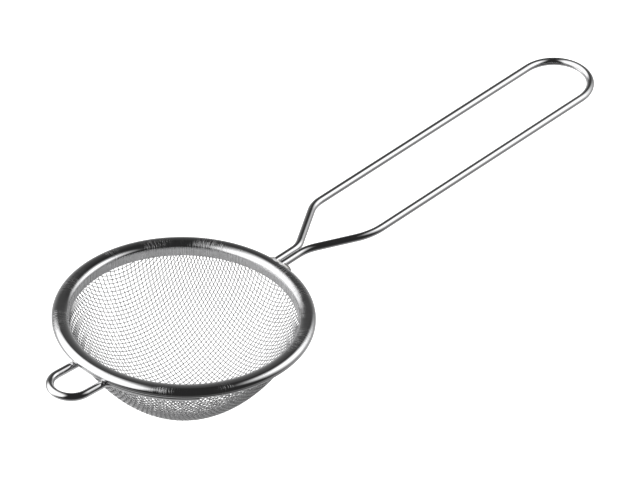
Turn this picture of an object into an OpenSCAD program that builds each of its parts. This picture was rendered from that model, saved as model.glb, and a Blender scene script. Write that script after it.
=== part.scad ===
// Small round wire-mesh sifter: a rolled steel rim that clamps a woven bowl,
// with a long bent-wire handle on one side and a wire rest hook on the other.
//
// Origin: centre of the rim, level with its top. +Z up, +X along the handle,
// the rest hook points to -X. Millimetres.

/* [Rim] */
// Outer diameter of the rolled rim
rim_d = 80; // [60:1:120]
// Half width of the rounded outer nose of the rim
nose_w = 2.0; // [1.2:0.1:3]
// Height of the rounded outer nose
nose_h = 1.66; // [1:0.02:3]
// Width of the slope that falls from the crest to the collar
slope_w = 3.2; // [2:0.1:5]
// Fall of that slope
slope_h = 2.03; // [1:0.01:3]
// Roundness of that slope: 2 is an ellipse, more is flatter on top and steeper at the collar
slope_round = 2.6; // [2:0.1:4]
// Height of the collar below the slope
collar_h = 2.34; // [1:0.01:6]
// Radius of the rolled hem along the lower outer edge
hem_r = 0.5; // [0.3:0.05:0.8]
// Thickness of the rim's steel strip
strip_t = 0.4; // [0.3:0.05:0.8]
// Wire diameter of the hoop inside the rim
hoop_d = 1.8; // [1:0.1:2.4]

/* [Bowl] */
// Thickness of the woven cloth
cloth_t = 0.55; // [0.3:0.05:1]
// Depth of the bowl below the collar
bowl_depth = 30; // [15:0.5:45]
// Roundness of the bowl's side: 1 is a paraboloid, 2 is an ellipsoid
bowl_round = 1.18; // [1:0.01:2]

/* [Handle] */
// Wire diameter of the handle and the hook
wire_d = 2.5; // [1.6:0.1:4]
// Distance between the two long legs, centre to centre
handle_w = 23.4; // [14:0.1:40]
// Reach of the handle from the rim's centre to the middle of its round end
handle_reach = 163.4; // [90:0.1:220]
// Where the leg on the +Y side starts to spread, from the rim's centre
spread_start_plus = 49.2; // [44:0.1:70]
// Where the leg on the -Y side starts to spread
spread_start_minus = 49.8; // [44:0.1:70]
// Where the leg on the +Y side runs parallel again
spread_end_plus = 66.9; // [55:0.1:90]
// Where the leg on the -Y side runs parallel again
spread_end_minus = 68.8; // [55:0.1:90]
// Bend radius nearer to the rim, in the leg on the +Y side
near_bend_plus = 8; // [4:0.5:20]
// Bend radius nearer to the rim, in the leg on the -Y side
near_bend_minus = 14; // [4:0.5:20]
// Bend radius further from the rim, in the leg on the +Y side
far_bend_plus = 10; // [6:0.5:30]
// Bend radius further from the rim, in the leg on the -Y side
far_bend_minus = 20; // [6:0.5:30]
// Upward tilt of the handle
handle_tilt = 4.4; // [0:0.1:20]
// Height of the wire's centre at the rim
handle_z = -0.95; // [-1.5:0.05:0]
// Sideways shift of the two legs where they meet the rim
root_shift = -0.65; // [-2:0.05:2]
// Sideways shift of the rest of the handle
handle_shift = 0.25; // [-2:0.05:2]

/* [Rest hook] */
// Distance between the hook's legs, centre to centre
hook_w = 12.8; // [8:0.1:24]
// Reach of the hook from the rim's centre to the middle of its round end
hook_reach = 45.8; // [43:0.1:60]
// Height of the hook wire's centre
hook_z = -3.95; // [-5:0.05:-2.8]
// Angle from the hook's axis to the far end of each arm
arm_end_angle = 54; // [20:1:80]
// Bend radius between a leg and its arm
arm_bend_r = 2.6; // [2:0.1:6]
// Turn of the hook away from the line opposite the handle
hook_turn = -0.5; // [-5:0.1:5]

/* [Hidden] */
$fn = 72;
fit_gap = 0.03;
root_weld_r = 1.4;
bead_size = [1.0, 4.6, 1.2];
bead_shift = [-0.2, -0.5, -1.2];
hook_weld_r = 0.6;
profile_step = 15;

// A bend is this much thicker than a straight wire, whose ends reach a little way into it.
bend_swell = 0.02;
lap = 0.1;

rim_r = rim_d / 2;
crest_r = rim_r - nose_w;
collar_r = crest_r - slope_w;
collar_z = -slope_h - collar_h;
hem_z = -nose_h - hem_r + 0.08;
wire_r = wire_d / 2;

// The cloth stands between the collar and the hoop, then bellies out below the collar.
cloth_in_r = collar_r + strip_t + fit_gap;
cloth_out_r = cloth_in_r + cloth_t;
cloth_top_z = -slope_h - 0.2;
hoop_r = cloth_out_r + hoop_d / 2 + fit_gap;
hoop_z = -1.5;
bowl_steps = 16;

// The two legs lie side by side where they meet the rim.
root_y = wire_r + 0.02;
leg_y = handle_w / 2;
root_weld_z = handle_z - 0.8;
leg_start = rim_r - 0.6;

// The arms follow the cloth under the rim.
arm_r = cloth_out_r + wire_r + 0.1;
arm_leg_y = hook_w / 2;
arm_bend_y = arm_leg_y + arm_bend_r;
arm_bend_x = sqrt(pow(arm_r + arm_bend_r, 2) - pow(arm_bend_y, 2));
arm_start_angle = asin(arm_bend_y / (arm_r + arm_bend_r));

// Each of the hook's legs is welded to the hem where it passes under it.
hook_weld_x = sqrt(pow(rim_r - hem_r, 2) - pow(arm_leg_y, 2));
hook_weld_z = hem_z - hem_r;

rim_band();
core_hoop();
mesh_bowl();
handle_wire();
rest_hook();
handle_weld();
hook_welds();

// Points of an elliptical quarter about [centre_r, centre_z]: from its side up to its top when
// side is 1, or from its top down to its other side when side is -1. round is 2 for an ellipse.
function arc_points(centre_r, centre_z, half_w, half_h, side, round = 2) =
    let (count = 90 / profile_step)
    [for (i = [0 : count])
        let (a = side > 0 ? 90 * i / count : 90 - 90 * i / count)
        [centre_r + side * half_w * pow(cos(a), 2 / round),
         centre_z + half_h * pow(sin(a), 2 / round)]];

// One face of the rim's strip, from the foot of the nose over the crest to the collar.
// inset is 0 for the outside face and strip_t for the inside one.
function strip_face(inset) = concat(
    arc_points(crest_r, -nose_h, nose_w - inset, nose_h - inset, 1),
    arc_points(crest_r, -slope_h, slope_w - inset, slope_h - inset, -1, slope_round),
    [[collar_r + inset, collar_z]]);

function reversed(list) = [for (i = [len(list) - 1 : -1 : 0]) list[i]];

// Radius of the bowl at a depth given as a share of its whole depth.
function bowl_radius(top_r, share) = top_r * sqrt(1 - pow(share, bowl_round));

// One face of the cloth, from its top edge down to the bottom of the bowl. The steps are
// finer near the bottom, where the bowl turns flat.
function cloth_face(top_r, depth) = concat(
    [[top_r, cloth_top_z]],
    [for (i = [0 : bowl_steps])
        let (share = sin(90 * i / bowl_steps))
        [bowl_radius(top_r, share), collar_z - depth * share]]);

// Rolled strip: nose, crest, slope and collar, with the hem along its lower outer edge.
module rim_band() {
    color([0.80, 0.81, 0.82])
    rotate_extrude($fn = 120)
    union() {
        polygon(concat(strip_face(0), reversed(strip_face(strip_t))));
        translate([rim_r - hem_r, hem_z]) circle(r = hem_r, $fn = 24);
    }
}

// Everything inside the rim's outer face, as one ring. Wires and welds are cut by it.
module rim_envelope() {
    rotate_extrude($fn = 120)
    polygon(concat([[rim_r - nose_w, hem_z], [rim_r, hem_z]], strip_face(0)));
}

// Wire hoop that holds the edge of the cloth against the collar.
module core_hoop() {
    color([0.72, 0.73, 0.74])
    translate([0, 0, hoop_z])
    rotate_extrude($fn = 120)
    translate([hoop_r, 0]) circle(d = hoop_d, $fn = 24);
}

// The woven cloth as a plain closed shell of its real thickness.
module mesh_bowl() {
    color([0.75, 0.75, 0.76])
    rotate_extrude($fn = 96)
    polygon(concat(cloth_face(cloth_out_r, bowl_depth),
                   reversed(cloth_face(cloth_in_r, bowl_depth - cloth_t))));
}

function heading(from, to) = atan2(to[1] - from[1], to[0] - from[0]);

function turned(point, angle, distance) =
    [point[0] + distance * cos(angle), point[1] + distance * sin(angle)];

// A straight wire between two points of the XY plane, with a lap at each end.
module straight_wire(from, to) {
    translate([from[0], from[1], 0])
    rotate([0, 0, heading(from, to)])
    translate([-lap, 0, 0])
    rotate([0, 90, 0])
    cylinder(h = norm(to - from) + 2 * lap, d = wire_d, $fn = 24);
}

// A wire bent about a centre, from one angle, over sweep degrees anticlockwise.
module bent_wire(centre, bend_r, from_angle, sweep, thickness = wire_d + bend_swell) {
    translate([centre[0], centre[1], 0])
    rotate([0, 0, from_angle])
    rotate_extrude(angle = sweep)
    translate([bend_r, 0]) circle(d = thickness, $fn = 24);
}

// The leg on the +Y side: straight from the rim, out through the neck, then straight to the
// round end. Both bends turn by the same angle, so the leg runs parallel again. spread is where
// the neck starts and ends, and bend_r the radii of the bends there.
module handle_leg(from_y, to_y, spread, bend_r) {
    neck = [[spread[0], from_y], [spread[1], to_y]];
    turn = heading(neck[0], neck[1]);
    setback = bend_r * tan(turn / 2);
    straight_wire([leg_start, from_y], turned(neck[0], 0, -setback[0]));
    bent_wire(turned(neck[0], 0, -setback[0]) + [0, bend_r[0]], bend_r[0], -90, turn);
    straight_wire(turned(neck[0], turn, setback[0]), turned(neck[1], turn, -setback[1]));
    bent_wire(turned(neck[1], 0, setback[1]) - [0, bend_r[1]], bend_r[1], 90, turn);
    straight_wire(turned(neck[1], 0, setback[1]), [handle_reach, to_y]);
}

// Turns the flat handle up by its tilt, about the line where it meets the rim.
module tilted_at_rim() {
    translate([rim_r, 0, handle_z])
    rotate([0, -handle_tilt, 0])
    translate([-rim_r, 0, 0])
    children();
}

module handle_shape() {
    tilted_at_rim() {
        handle_leg(root_y + root_shift, leg_y + handle_shift,
                   [spread_start_plus, spread_end_plus], [near_bend_plus, far_bend_plus]);
        mirror([0, 1, 0])
            handle_leg(root_y - root_shift, leg_y - handle_shift,
                       [spread_start_minus, spread_end_minus],
                       [near_bend_minus, far_bend_minus]);
        bent_wire([handle_reach, handle_shift], leg_y, -90, 180);
    }
}

// One wire: two legs, the neck where they spread, and the round end that hangs on a peg.
module handle_wire() {
    color([0.82, 0.83, 0.84])
    difference() {
        handle_shape();
        rim_envelope();
    }
}

// Half of the hook: a leg, and the arm that runs under the rim along the cloth.
module hook_half() {
    straight_wire([-hook_reach, arm_leg_y], [-arm_bend_x, arm_leg_y]);
    bent_wire([-arm_bend_x, arm_bend_y], arm_bend_r, -90, 90 - arm_start_angle);
    bent_wire([0, 0], arm_r, 180 - arm_end_angle, arm_end_angle - arm_start_angle + lap, wire_d);
}

module hook_shape() {
    translate([0, 0, hook_z])
    rotate([0, 0, hook_turn]) {
        hook_half();
        mirror([0, 1, 0]) hook_half();
        bent_wire([-hook_reach, 0], arm_leg_y, 90, 180);
    }
}

// One wire: the loop that rests on a cup, and the two arms that hold it under the rim.
module rest_hook() {
    color([0.82, 0.83, 0.84]) hook_shape();
}

// Weld of the two legs to the rim's nose: a smeared bead along the nose, and a spot under
// each leg.
module handle_weld() {
    color([0.70, 0.70, 0.71])
    difference() {
        union() {
            for (side = [-1, 1])
                translate([rim_r, side * root_y + root_shift, root_weld_z])
                    sphere(r = root_weld_r, $fn = 32);
            translate([rim_r, root_shift, 0] + bead_shift)
                scale(bead_size) sphere(r = 1, $fn = 40);
        }
        rim_envelope();
        handle_shape();
    }
}

// Weld spots that join the hook's legs to the underside of the hem.
module hook_welds() {
    color([0.70, 0.70, 0.71])
    difference() {
        rotate([0, 0, hook_turn])
        for (side = [-1, 1])
            translate([-hook_weld_x, side * arm_leg_y, hook_weld_z])
                sphere(r = hook_weld_r, $fn = 32);
        rim_band();
        hook_shape();
    }
}
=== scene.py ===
"""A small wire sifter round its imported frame: woven bowl, rolled steel rim, bent steel wires."""

import math

import bpy
import numpy as np
from mathutils import Matrix, Vector


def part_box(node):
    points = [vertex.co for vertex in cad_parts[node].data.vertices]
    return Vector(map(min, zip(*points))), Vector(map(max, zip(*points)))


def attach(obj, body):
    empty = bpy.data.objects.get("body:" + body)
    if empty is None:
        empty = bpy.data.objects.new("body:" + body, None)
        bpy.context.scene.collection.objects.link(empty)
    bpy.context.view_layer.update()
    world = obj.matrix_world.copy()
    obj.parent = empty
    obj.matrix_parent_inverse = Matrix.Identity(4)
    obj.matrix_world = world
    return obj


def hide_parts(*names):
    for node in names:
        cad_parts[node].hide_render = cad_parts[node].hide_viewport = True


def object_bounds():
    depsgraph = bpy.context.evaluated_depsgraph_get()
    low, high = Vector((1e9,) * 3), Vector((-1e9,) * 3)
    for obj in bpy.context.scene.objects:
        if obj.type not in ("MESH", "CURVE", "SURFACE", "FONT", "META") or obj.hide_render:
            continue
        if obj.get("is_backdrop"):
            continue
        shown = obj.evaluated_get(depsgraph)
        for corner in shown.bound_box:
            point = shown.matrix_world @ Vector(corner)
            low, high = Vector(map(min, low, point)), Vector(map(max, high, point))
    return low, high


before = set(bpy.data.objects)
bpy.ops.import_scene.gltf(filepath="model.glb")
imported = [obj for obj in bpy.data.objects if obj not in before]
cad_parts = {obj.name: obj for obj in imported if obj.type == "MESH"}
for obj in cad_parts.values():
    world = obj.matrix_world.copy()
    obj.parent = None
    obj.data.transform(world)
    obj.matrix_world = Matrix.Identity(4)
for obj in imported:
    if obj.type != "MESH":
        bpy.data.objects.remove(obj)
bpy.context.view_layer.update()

# ---------------------------------------------------------------- sizes, in metres

# The woven cloth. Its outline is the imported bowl's.
WIRE_D = 0.00027
BOWL_DEPTH = 0.030
BOWL_ROUND = 1.18
CLOTH_T = 0.00055
WIRE_SIDES = 5
STEPS_PER_CELL = 4
# How the flat cloth lies on the bowl: its turn from +X, the wires from the pole to the collar,
# the squeeze that pulls the cells into diamonds, and the drift of each family of wires.
CLOTH_TURN = math.radians(-6.3)
CELLS_TO_COLLAR = 38.9
CLOTH_SQUEEZE = -0.418
WARP_DRIFT = 0.12
WEFT_DRIFT = 0.17
# How far past the collar wires are tried, as a share of the cells from the pole to the collar.
TRY_PAST_COLLAR = 1.3
# The walk that finds a wire's place on the bowl, in flat distances with 1 at the collar.
WALK_STAGES = 12
NEWTON_STEPS = 3
LEAST_DET = 50
FLAT_LIMIT = 1.5
LAY_ERROR = 0.01

# The rim's section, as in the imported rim.
NOSE_W = 0.0020
NOSE_H = 0.00166
SLOPE_W = 0.0032
SLOPE_H = 0.00203
SLOPE_ROUND = 2.6
COLLAR_H = 0.00234
STRIP_T = 0.0004
HEM_R = 0.0005
HEM_DROP = 0.00208
# Where the section's open arcs start and end, as angles from the outward direction.
HEM_START = -1.3 * math.pi
HEM_END = 0.3
NOSE_START = 0.02
INNER_NOSE_END = 0.2
ARC_STEP = math.radians(4)
RIM_STEPS = 240


def add_mesh(name, verts, faces, node):
    """A smooth mesh piece that stands for one CAD node."""
    mesh = bpy.data.meshes.new(name)
    mesh.from_pydata(verts.tolist(), [], faces)
    mesh.shade_smooth()
    piece = bpy.data.objects.new(name, mesh)
    bpy.context.scene.collection.objects.link(piece)
    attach(piece, "root")
    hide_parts(node)
    return piece


# ---------------------------------------------------------------- the bowl's surface

def bowl_outline():
    """The cloth's middle surface: arc length from the pole, radius and height, as three lists."""
    low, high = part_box("mesh_bowl")
    radius = high.x - CLOTH_T / 2
    pole_z = low.z + CLOTH_T / 2
    depth = BOWL_DEPTH - CLOTH_T / 2
    turn = np.linspace(0, math.pi / 2, 2000)
    share = np.clip(np.cos(turn) ** 2, 0, None) ** (1 / BOWL_ROUND)
    r = radius * np.sin(turn)
    z = pole_z + depth - depth * share
    s = np.append(0, np.cumsum(np.hypot(np.diff(r), np.diff(z))))
    skirt = high.z - z[-1]
    return np.append(s, s[-1] + skirt), np.append(r, radius), np.append(z, high.z)


OUTLINE_S, OUTLINE_R, OUTLINE_Z = bowl_outline()
COLLAR_ARC = OUTLINE_S[-2]
REACH = OUTLINE_S[-1] / COLLAR_ARC


def on_bowl(x, y):
    """The point at flat position (x, y): distances along the surface from the pole, 1 at the collar."""
    s = np.maximum(np.hypot(x, y), 1e-9)
    r = np.interp(s * COLLAR_ARC, OUTLINE_S, OUTLINE_R)
    z = np.interp(s * COLLAR_ARC, OUTLINE_S, OUTLINE_Z)
    return np.stack([x * r / s, y * r / s, z], axis=-1)


def bowl_normal(x, y):
    step = 1e-4
    across = on_bowl(x + step, y) - on_bowl(x - step, y)
    along = on_bowl(x, y + step) - on_bowl(x, y - step)
    n = np.cross(across, along)
    return n / np.linalg.norm(n, axis=-1, keepdims=True)


# ---------------------------------------------------------------- the weave

def cloth_count(x, y):
    """The weft and warp counts at (x, y) in the cloth's own axes, and their slopes."""
    a, b, c = CLOTH_SQUEEZE, WARP_DRIFT, WEFT_DRIFT
    k = CELLS_TO_COLLAR
    u = k * (y + a * x * x * y + b * x * y * y)
    v = k * (x + a * x * y * y + c * x * x * y)
    ux = k * (2 * a * x * y + b * y * y)
    uy = k * (1 + a * x * x + 2 * b * x * y)
    vx = k * (1 + a * y * y + 2 * c * x * y)
    vy = k * (2 * a * x * y + c * x * x)
    return u, v, ux, uy, vx, vy


def lay_cloth(u, v):
    """Where on the bowl the cloth's point (u, v) lies. Newton steps, walked out from the pole."""
    x, y = np.zeros_like(u), np.zeros_like(v)
    for stage in range(1, WALK_STAGES + 1):
        share = stage / WALK_STAGES
        for _ in range(NEWTON_STEPS):
            u0, v0, ux, uy, vx, vy = cloth_count(x, y)
            du, dv = u * share - u0, v * share - v0
            det = ux * vy - uy * vx
            det = np.where(np.abs(det) < LEAST_DET, np.copysign(LEAST_DET, det), det)
            x = np.clip(x + (vy * du - uy * dv) / det, -FLAT_LIMIT, FLAT_LIMIT)
            y = np.clip(y + (ux * dv - vx * du) / det, -FLAT_LIMIT, FLAT_LIMIT)
    u0, v0, *_ = cloth_count(x, y)
    good = (np.abs(u0 - u) < LAY_ERROR) & (np.abs(v0 - v) < LAY_ERROR)
    c, s = math.cos(CLOTH_TURN), math.sin(CLOTH_TURN)
    return x * c - y * s, x * s + y * c, good


def tube(points, radius, sides):
    """A capped tube's vertices and faces along a line of points."""
    ahead = np.gradient(points, axis=0)
    ahead /= np.linalg.norm(ahead, axis=1, keepdims=True)
    side = np.cross(ahead, [0, 0, 1.0])
    side /= np.linalg.norm(side, axis=1, keepdims=True)
    up = np.cross(side, ahead)
    turn = np.arange(sides) * 2 * math.pi / sides
    ring = np.cos(turn)[:, None] * side[:, None] + np.sin(turn)[:, None] * up[:, None]
    verts = (points[:, None] + radius * ring).reshape(-1, 3)
    i, j = np.meshgrid(np.arange(len(points) - 1), np.arange(sides), indexing="ij")
    k = (j + 1) % sides
    quads = np.stack([i * sides + j, i * sides + k, (i + 1) * sides + k, (i + 1) * sides + j], -1)
    last = len(verts) - sides
    caps = [list(range(sides))[::-1], list(range(last, last + sides))]
    return verts, quads.reshape(-1, 4).tolist() + caps


def weave(name, family):
    """All the wires of one family, each waving over and under the other family."""
    rows = int(CELLS_TO_COLLAR * TRY_PAST_COLLAR)
    t = np.arange(-rows * STEPS_PER_CELL, rows * STEPS_PER_CELL + 1) / STEPS_PER_CELL
    verts, faces = [], []
    for row in range(-rows, rows + 1):
        fixed = np.full_like(t, row)
        x, y, good = lay_cloth(fixed, t) if family == 0 else lay_cloth(t, fixed)
        inside = np.flatnonzero(good & (np.hypot(x, y) < REACH))
        if len(inside) < 3 * STEPS_PER_CELL:
            continue
        run = slice(inside[0], inside[-1] + 1)
        x, y, along = x[run], y[run], t[run]
        if not good[run].all():
            continue
        side = 1 if family == 0 else -1
        wave = side * WIRE_D / 2 * np.cos(math.pi * (along + row))
        path = on_bowl(x, y) + bowl_normal(x, y) * wave[:, None]
        v, f = tube(path, WIRE_D / 2, WIRE_SIDES)
        start = sum(len(done) for done in verts)
        verts.append(v)
        faces += [[corner + start for corner in face] for face in f]
    return add_mesh(name, np.concatenate(verts), faces, "mesh_bowl")


# ---------------------------------------------------------------- the rim

def arc(centre_r, centre_z, half_w, half_h, start, end, roundness=2.0):
    """Points of an elliptical arc, from one angle to another, in radians. With a roundness above 2
    the arc is flatter at its ends and fuller between them."""
    count = max(2, round(abs(end - start) / ARC_STEP))
    a = np.linspace(start, end, count + 1)
    across = np.copysign(np.abs(np.cos(a)) ** (2 / roundness), np.cos(a))
    up = np.copysign(np.abs(np.sin(a)) ** (2 / roundness), np.sin(a))
    return list(zip(centre_r + half_w * across, centre_z + half_h * up))


def rim_section():
    """The rim's closed section: hem, nose, crest, slope and collar, then back up inside."""
    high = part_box("rim_band")[1]
    outer, top = high.x, high.z
    crest = outer - NOSE_W
    collar_r = crest - SLOPE_W
    collar_z = top - SLOPE_H - COLLAR_H
    t = STRIP_T
    quarter = math.pi / 2
    hem = arc(outer - HEM_R, top - HEM_DROP, HEM_R, HEM_R, HEM_START, HEM_END)
    nose = arc(crest, top - NOSE_H, NOSE_W, NOSE_H, NOSE_START, quarter)
    slope = arc(crest, top - SLOPE_H, SLOPE_W, SLOPE_H, quarter, 2 * quarter, SLOPE_ROUND)
    lip = arc(collar_r + t / 2, collar_z + t / 2, t / 2, t / 2, 2 * quarter, 4 * quarter)
    inner_slope = arc(crest, top - SLOPE_H, SLOPE_W - t, SLOPE_H - t, 2 * quarter, quarter,
                      SLOPE_ROUND)
    inner_nose = arc(crest, top - NOSE_H, NOSE_W - t, NOSE_H - t, quarter,
                     INNER_NOSE_END)
    return hem + nose + slope[1:] + lip + inner_slope + inner_nose[1:]


def lathe(section, steps):
    """The closed section, given as radius and height, turned round the Z axis."""
    section = np.array(section)
    turn = np.arange(steps) * 2 * math.pi / steps
    x = np.cos(turn)[:, None] * section[:, 0]
    y = np.sin(turn)[:, None] * section[:, 0]
    z = np.broadcast_to(section[:, 1], x.shape)
    n = len(section)
    i, j = np.meshgrid(np.arange(steps), np.arange(n), indexing="ij")
    i2, j2 = (i + 1) % steps, (j + 1) % n
    faces = np.stack([i * n + j, i2 * n + j, i2 * n + j2, i * n + j2], -1)
    return np.stack([x, y, z], -1).reshape(-1, 3), faces.reshape(-1, 4).tolist()


# ---------------------------------------------------------------- materials

def new_material(name):
    material = bpy.data.materials.new(name)
    material.use_nodes = True
    return material, material.node_tree, material.node_tree.nodes["Principled BSDF"]


def math_node(tree, operation, *values):
    """A Math node: each value is a number or another node's output."""
    node = tree.nodes.new("ShaderNodeMath")
    node.operation = operation
    for place, value in enumerate(values):
        if isinstance(value, (int, float)):
            node.inputs[place].default_value = value
        else:
            tree.links.new(value, node.inputs[place])
    return node.outputs[0]


def noise(tree, vector, scale, detail=2.0):
    node = tree.nodes.new("ShaderNodeTexNoise")
    node.inputs["Scale"].default_value = scale
    node.inputs["Detail"].default_value = detail
    tree.links.new(vector, node.inputs["Vector"])
    return node.outputs["Fac"]


def remap(tree, value, low, high, to_low, to_high):
    node = tree.nodes.new("ShaderNodeMapRange")
    node.interpolation_type = "SMOOTHSTEP"
    tree.links.new(value, node.inputs["Value"])
    for name, number in zip(("From Min", "From Max", "To Min", "To Max"), (low, high, to_low, to_high)):
        node.inputs[name].default_value = number
    return node.outputs[0]


def object_position(tree):
    coords = tree.nodes.new("ShaderNodeTexCoord")
    return coords.outputs["Object"]


def grey_mix(tree, factor, dark, light):
    ramp = tree.nodes.new("ShaderNodeValToRGB")
    ramp.color_ramp.elements[0].color = (dark, dark, dark * 1.01, 1)
    ramp.color_ramp.elements[1].color = (light, light, light * 1.01, 1)
    tree.links.new(factor, ramp.inputs[0])
    return ramp.outputs["Color"]


def add_bump(tree, shader, height, distance, strength):
    bump = tree.nodes.new("ShaderNodeBump")
    bump.inputs["Distance"].default_value = distance
    bump.inputs["Strength"].default_value = strength
    tree.links.new(height, bump.inputs["Height"])
    tree.links.new(bump.outputs["Normal"], shader.inputs["Normal"])


WALL_FADE = (0.00005, 0.00025)  # how far out from the collar its duller steel and painted light fade


def rim_steel():
    """Polished strip with fine scratches across the band, in patches. The collar's wall is rougher and
    less metallic, and its lighter base colour is painted light.
    """
    material, tree, shader = new_material("rim_steel")
    split = tree.nodes.new("ShaderNodeSeparateXYZ")
    position = object_position(tree)
    tree.links.new(position, split.inputs[0])
    x, y = split.outputs["X"], split.outputs["Y"]
    radius = math_node(tree, "SQRT", math_node(
        tree, "ADD", math_node(tree, "MULTIPLY", x, x), math_node(tree, "MULTIPLY", y, y)))
    around = tree.nodes.new("ShaderNodeCombineXYZ")
    tree.links.new(math_node(tree, "DIVIDE", x, radius), around.inputs["X"])
    tree.links.new(math_node(tree, "DIVIDE", y, radius), around.inputs["Y"])
    tree.links.new(math_node(tree, "MULTIPLY", radius, 2.0), around.inputs["Z"])
    streaks = noise(tree, around.outputs[0], 170, 3.0)
    patches = remap(tree, noise(tree, position, 75, 2.0), 0.45, 0.62, 0.0, 1.0)
    scratches = math_node(tree, "MULTIPLY", remap(tree, streaks, 0.46, 0.64, 0.0, 1.0), patches)
    collar_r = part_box("rim_band")[1].x - NOSE_W - SLOPE_W
    # On the collar's wall the steel is less metallic and rougher, and its base colour is lighter. The
    # lighter colour is painted light, standing in for the bright reflection the collar shows.
    wall = remap(tree, radius, collar_r + WALL_FADE[0], collar_r + WALL_FADE[1], 1.0, 0.0)
    tree.links.new(math_node(tree, "SUBTRACT", 1.0, math_node(tree, "MULTIPLY", wall, 0.35)),
                   shader.inputs["Metallic"])
    tone = math_node(tree, "ADD", remap(tree, streaks, 0.2, 0.8, 0.2, 0.5),
                     math_node(tree, "MULTIPLY", wall, 0.5))
    tree.links.new(grey_mix(tree, tone, 0.68, 0.92), shader.inputs["Base Color"])
    rough = math_node(tree, "ADD", math_node(tree, "MULTIPLY_ADD", scratches, 0.24, 0.06),
                      math_node(tree, "MULTIPLY", wall, 0.20))
    tree.links.new(rough, shader.inputs["Roughness"])
    add_bump(tree, shader, scratches, 0.00003, 0.35)
    return material


def wire_steel():
    """Bright drawn wire: faint wear along it and a slightly uneven surface."""
    material, tree, shader = new_material("wire_steel")
    position = object_position(tree)
    wear = noise(tree, position, 300, 3.0)
    shader.inputs["Metallic"].default_value = 1
    tree.links.new(grey_mix(tree, wear, 0.70, 0.78), shader.inputs["Base Color"])
    tree.links.new(remap(tree, wear, 0.3, 0.7, 0.04, 0.10), shader.inputs["Roughness"])
    add_bump(tree, shader, noise(tree, position, 900, 2.0), 0.00002, 0.12)
    return material


def mesh_steel(name, dark, light):
    """Thin woven wire, a little duller than the rim and uneven from wire to wire. The tone range it is
    given also carries painted light or painted shade for the whole family.
    """
    material, tree, shader = new_material(name)
    position = object_position(tree)
    wear = noise(tree, position, 700, 2.0)
    shader.inputs["Metallic"].default_value = 1
    tree.links.new(grey_mix(tree, wear, dark, light), shader.inputs["Base Color"])
    tree.links.new(remap(tree, wear, 0.3, 0.7, 0.36, 0.50), shader.inputs["Roughness"])
    return material


def weld_steel():
    """Welds: grainy, greyer metal with a faint straw tint."""
    material, tree, shader = new_material("weld_steel")
    position = object_position(tree)
    grain = noise(tree, position, 2500, 3.0)
    ramp = tree.nodes.new("ShaderNodeValToRGB")
    ramp.color_ramp.elements[0].color = (0.50, 0.49, 0.47, 1)
    ramp.color_ramp.elements[1].color = (0.76, 0.755, 0.74, 1)
    tree.links.new(grain, ramp.inputs[0])
    shader.inputs["Metallic"].default_value = 1
    tree.links.new(ramp.outputs["Color"], shader.inputs["Base Color"])
    tree.links.new(remap(tree, grain, 0.3, 0.7, 0.28, 0.45), shader.inputs["Roughness"])
    add_bump(tree, shader, grain, 0.00004, 0.5)
    return material


def paint(piece, material):
    piece.data.materials.clear()
    piece.data.materials.append(material)


# ---------------------------------------------------------------- floor and light

STEEL_TONE = 0.75  # the light is given as it shows on steel of this tone


def direction(azimuth, elevation):
    a, e = math.radians(azimuth), math.radians(elevation)
    return Vector((math.cos(e) * math.cos(a), math.cos(e) * math.sin(a), math.sin(e)))


def rolled_axes(facing, roll):
    """The across and up directions of something that faces one way, turned by roll about it."""
    level = Vector((0, 0, 1)).cross(facing).normalized()
    upright = facing.cross(level)
    return (math.cos(roll) * level + math.sin(roll) * upright,
            math.cos(roll) * upright - math.sin(roll) * level)


def panel_edges(azimuth, elevation, roll, left, right, top, bottom):
    """The inward normals of the edge planes of a soft panel that stands round the object.
    The half angles run from its middle. All are in degrees."""
    middle = direction(azimuth, elevation)
    across, up = rolled_axes(middle, math.radians(roll))
    sides = ((across, left), (-across, right), (-up, top), (up, bottom))
    return [math.cos(math.radians(h)) * side + math.sin(math.radians(h)) * middle
            for side, h in sides]


def soft_mask(tree, vector, edges, softness):
    """1 inside every edge plane and 0 outside, with a soft step between."""
    mask = None
    for normal in edges:
        dot = tree.nodes.new("ShaderNodeVectorMath")
        dot.operation = "DOT_PRODUCT"
        dot.inputs[1].default_value = normal
        tree.links.new(vector, dot.inputs[0])
        step = remap(tree, dot.outputs["Value"], -softness, softness, 0.0, 1.0)
        mask = step if mask is None else math_node(tree, "MULTIPLY", mask, step)
    return mask


def glow_toward(tree, sight, toward, start, strength):
    """Light that grows as the square of how far a sight line leans one way."""
    dot = tree.nodes.new("ShaderNodeVectorMath")
    dot.operation = "DOT_PRODUCT"
    dot.inputs[1].default_value = toward
    tree.links.new(sight, dot.inputs[0])
    lean = math_node(tree, "MAXIMUM", math_node(tree, "SUBTRACT", dot.outputs["Value"], start), 0.0)
    return math_node(tree, "MULTIPLY", math_node(tree, "MULTIPLY", lean, lean), strength)


LEFT_BOX = dict(azimuth=117.7, elevation=12.3, roll=29.3,
                left=20.7, right=71.4, top=59.1, bottom=45.0)
LEFT_BOX_SOFTNESS = 0.15
TABLE_TOWARD = (52.0, -56.9)
TABLE_START = -0.39
TABLE_STRENGTH = 0.30
ROOM_STRENGTH = 0.02


def add_world():
    """A dim studio: a tall soft box on the far left and the glow of the table beyond."""
    world = bpy.data.worlds.new("studio")
    bpy.context.scene.world = world
    world.use_nodes = True
    tree = world.node_tree
    sight = tree.nodes.new("ShaderNodeTexCoord").outputs["Generated"]
    left = soft_mask(tree, sight, panel_edges(**LEFT_BOX), LEFT_BOX_SOFTNESS)
    table = glow_toward(tree, sight, direction(*TABLE_TOWARD), TABLE_START, TABLE_STRENGTH)
    total = math_node(tree, "ADD", math_node(tree, "ADD", left, table), ROOM_STRENGTH)
    total = math_node(tree, "DIVIDE", total, STEEL_TONE)
    tree.links.new(total, tree.nodes["Background"].inputs["Strength"])
    tree.nodes["Background"].inputs["Color"].default_value = (1, 1, 1, 1)


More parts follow.
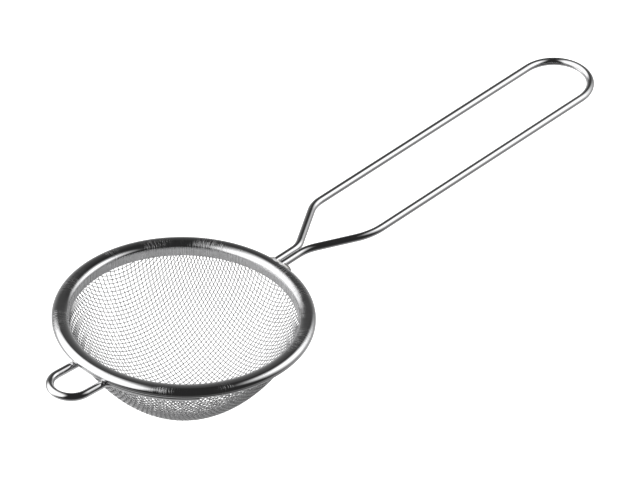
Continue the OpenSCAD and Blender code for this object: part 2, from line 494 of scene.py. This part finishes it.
# The near soft box: its centre, the way it faces in degrees, and how its light falls off.
BOX_PLACE = Vector((0.260, -0.130, 0.1525))
BOX_FACES = (146.1, -24.2)
BOX_ROLL = math.radians(-9.1)
BOX_HALF_WIDTH = 0.116
BOX_HALF_HEIGHT = 0.176
BOX_FADE = 0.165
BOX_STRENGTH = 1.42
BOX_RISE = 0.46


def add_lit_card(name, verts):
    """A one-faced card that the steel sees and the camera doesn't. Its look is still to be wired."""
    mesh = bpy.data.meshes.new(name)
    mesh.from_pydata(verts, [], [tuple(range(len(verts)))])
    card = bpy.data.objects.new(name, mesh)
    bpy.context.scene.collection.objects.link(card)
    material, tree, shader = new_material(name + "_glow")
    tree.nodes.remove(shader)
    mesh.materials.append(material)
    card.visible_camera = False
    card.visible_shadow = False
    card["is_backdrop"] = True
    return card, tree


def add_soft_box():
    """A soft box near the object on its right, bright in the middle and fading to its edges."""
    facing = direction(*BOX_FACES)
    across, up = rolled_axes(facing, BOX_ROLL)
    x, y = BOX_HALF_WIDTH + BOX_FADE, BOX_HALF_HEIGHT + BOX_FADE
    box, tree = add_lit_card("soft_box", [(-x, -y, 0), (x, -y, 0), (x, y, 0), (-x, y, 0)])
    turn = Matrix((across, up, facing)).transposed()
    box.matrix_world = Matrix.Translation(BOX_PLACE) @ turn.to_4x4()
    split = tree.nodes.new("ShaderNodeSeparateXYZ")
    tree.links.new(object_position(tree), split.inputs[0])
    sides = math_node(tree, "ABSOLUTE", split.outputs["X"])
    ends = math_node(tree, "ABSOLUTE", split.outputs["Y"])
    mask = math_node(
        tree, "MULTIPLY",
        remap(tree, sides, BOX_HALF_WIDTH - BOX_FADE, x, 1.0, 0.0),
        remap(tree, ends, BOX_HALF_HEIGHT - BOX_FADE, y, 1.0, 0.0))
    rise = math_node(tree, "MULTIPLY_ADD", split.outputs["Y"], BOX_RISE / BOX_HALF_HEIGHT, 1.0)
    mask = math_node(tree, "MULTIPLY", mask, math_node(tree, "MAXIMUM", rise, 0.0))
    glow = tree.nodes.new("ShaderNodeEmission")
    tree.links.new(math_node(tree, "MULTIPLY", mask, BOX_STRENGTH / STEEL_TONE),
                   glow.inputs["Strength"])
    clear = tree.nodes.new("ShaderNodeBsdfTransparent")
    both = tree.nodes.new("ShaderNodeAddShader")
    tree.links.new(glow.outputs[0], both.inputs[0])
    tree.links.new(clear.outputs[0], both.inputs[1])
    tree.links.new(both.outputs[0], tree.nodes["Material Output"].inputs["Surface"])


# The bright patch of table under the bowl.
BOUNCE_REACH = 0.050
BOUNCE_GAP = 0.0001
BOUNCE_SIDES = 48
BOUNCE_STRENGTH = 0.42


def add_bounce():
    """A round card close under the bowl, which lights the steel from below."""
    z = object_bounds()[0].z - BOUNCE_GAP
    turns = [2 * math.pi * i / BOUNCE_SIDES for i in range(BOUNCE_SIDES)]
    edge = [(BOUNCE_REACH * math.cos(a), BOUNCE_REACH * math.sin(a), z) for a in turns]
    _, tree = add_lit_card("bounce", edge)
    glow = tree.nodes.new("ShaderNodeEmission")
    glow.inputs["Strength"].default_value = BOUNCE_STRENGTH / STEEL_TONE
    tree.links.new(glow.outputs[0], tree.nodes["Material Output"].inputs["Surface"])


FLOOR_GAP = 0.0002


def add_floor():
    """A white table that runs up into a white wall, far from the object."""
    middle, flat, bend, height = 0.001, 5.0, 1.5, 4.0
    steps, bend_steps = 96, 8
    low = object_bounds()[0].z - FLOOR_GAP
    profile = [(middle, low), (flat, low)]
    for i in range(1, bend_steps + 1):
        a = math.pi / 2 * i / bend_steps
        profile.append((flat + bend * math.sin(a), low + bend * (1 - math.cos(a))))
    profile.append((flat + bend, low + height))
    verts, faces = [], []
    for i in range(steps):
        a = 2 * math.pi * i / steps
        verts += [(r * math.cos(a), r * math.sin(a), z) for r, z in profile]
    n = len(profile)
    for i in range(steps):
        for j in range(n - 1):
            a, b = i * n + j, (i + 1) % steps * n + j
            faces.append((a, b, b + 1, a + 1))
    mesh = bpy.data.meshes.new("floor")
    mesh.from_pydata(verts, [], faces)
    mesh.shade_smooth()
    floor = bpy.data.objects.new("floor", mesh)
    bpy.context.scene.collection.objects.link(floor)
    material, _, shader = new_material("floor_white")
    shader.inputs["Base Color"].default_value = (0.9, 0.9, 0.9, 1)
    shader.inputs["Roughness"].default_value = 1
    shader.inputs["Emission Color"].default_value = (1, 1, 1, 1)
    shader.inputs["Emission Strength"].default_value = 1.0
    floor.data.materials.append(material)
    floor.visible_glossy = False
    floor.visible_diffuse = False
    floor.visible_shadow = False
    floor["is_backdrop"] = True


# ---------------------------------------------------------------- camera

CAMERA_AZIMUTH = math.radians(-45.858)
CAMERA_ELEVATION = math.radians(35.733)
CAMERA_ROLL = math.radians(1.844)
CAMERA_DISTANCE = 1.570787
CAMERA_LENS = 292.5
AIM_RIGHT = 0.041105
AIM_UP = 0.021628


def add_camera():
    a, e = CAMERA_AZIMUTH, CAMERA_ELEVATION
    back = Vector((math.sin(a) * math.cos(e), -math.cos(a) * math.cos(e), math.sin(e)))
    right, up = rolled_axes(back, CAMERA_ROLL)
    place = back * CAMERA_DISTANCE + right * AIM_RIGHT + up * AIM_UP
    data = bpy.data.cameras.new("camera")
    data.lens = CAMERA_LENS
    data.sensor_width = 36
    data.clip_start = 0.05
    data.clip_end = 30
    camera = bpy.data.objects.new("camera", data)
    turn = Matrix((right, up, back)).transposed()
    camera.matrix_world = Matrix.Translation(place) @ turn.to_4x4()
    bpy.context.scene.collection.objects.link(camera)
    bpy.context.scene.camera = camera


# ---------------------------------------------------------------- build

def build():
    # The warp gets a darker tone range than the weft. This is painted shade on the warp and painted
    # light on the weft, for how the light falls on each family.
    paint(weave("warp_wires", 0), mesh_steel("warp_steel_painted_shade", 0.42, 0.54))
    paint(weave("weft_wires", 1), mesh_steel("weft_steel_painted_light", 0.54, 0.68))
    rim_verts, rim_faces = lathe(rim_section(), RIM_STEPS)
    paint(add_mesh("rolled_rim", rim_verts, rim_faces, "rim_band"), rim_steel())
    drawn, welds = wire_steel(), weld_steel()
    for node in ("core_hoop", "handle_wire", "rest_hook"):
        paint(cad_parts[node], drawn)
    for node in ("handle_weld", "hook_welds"):
        paint(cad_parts[node], welds)


build()
add_floor()
add_world()
add_soft_box()
add_bounce()
add_camera()
bpy.context.scene.view_settings.view_transform = "Standard"
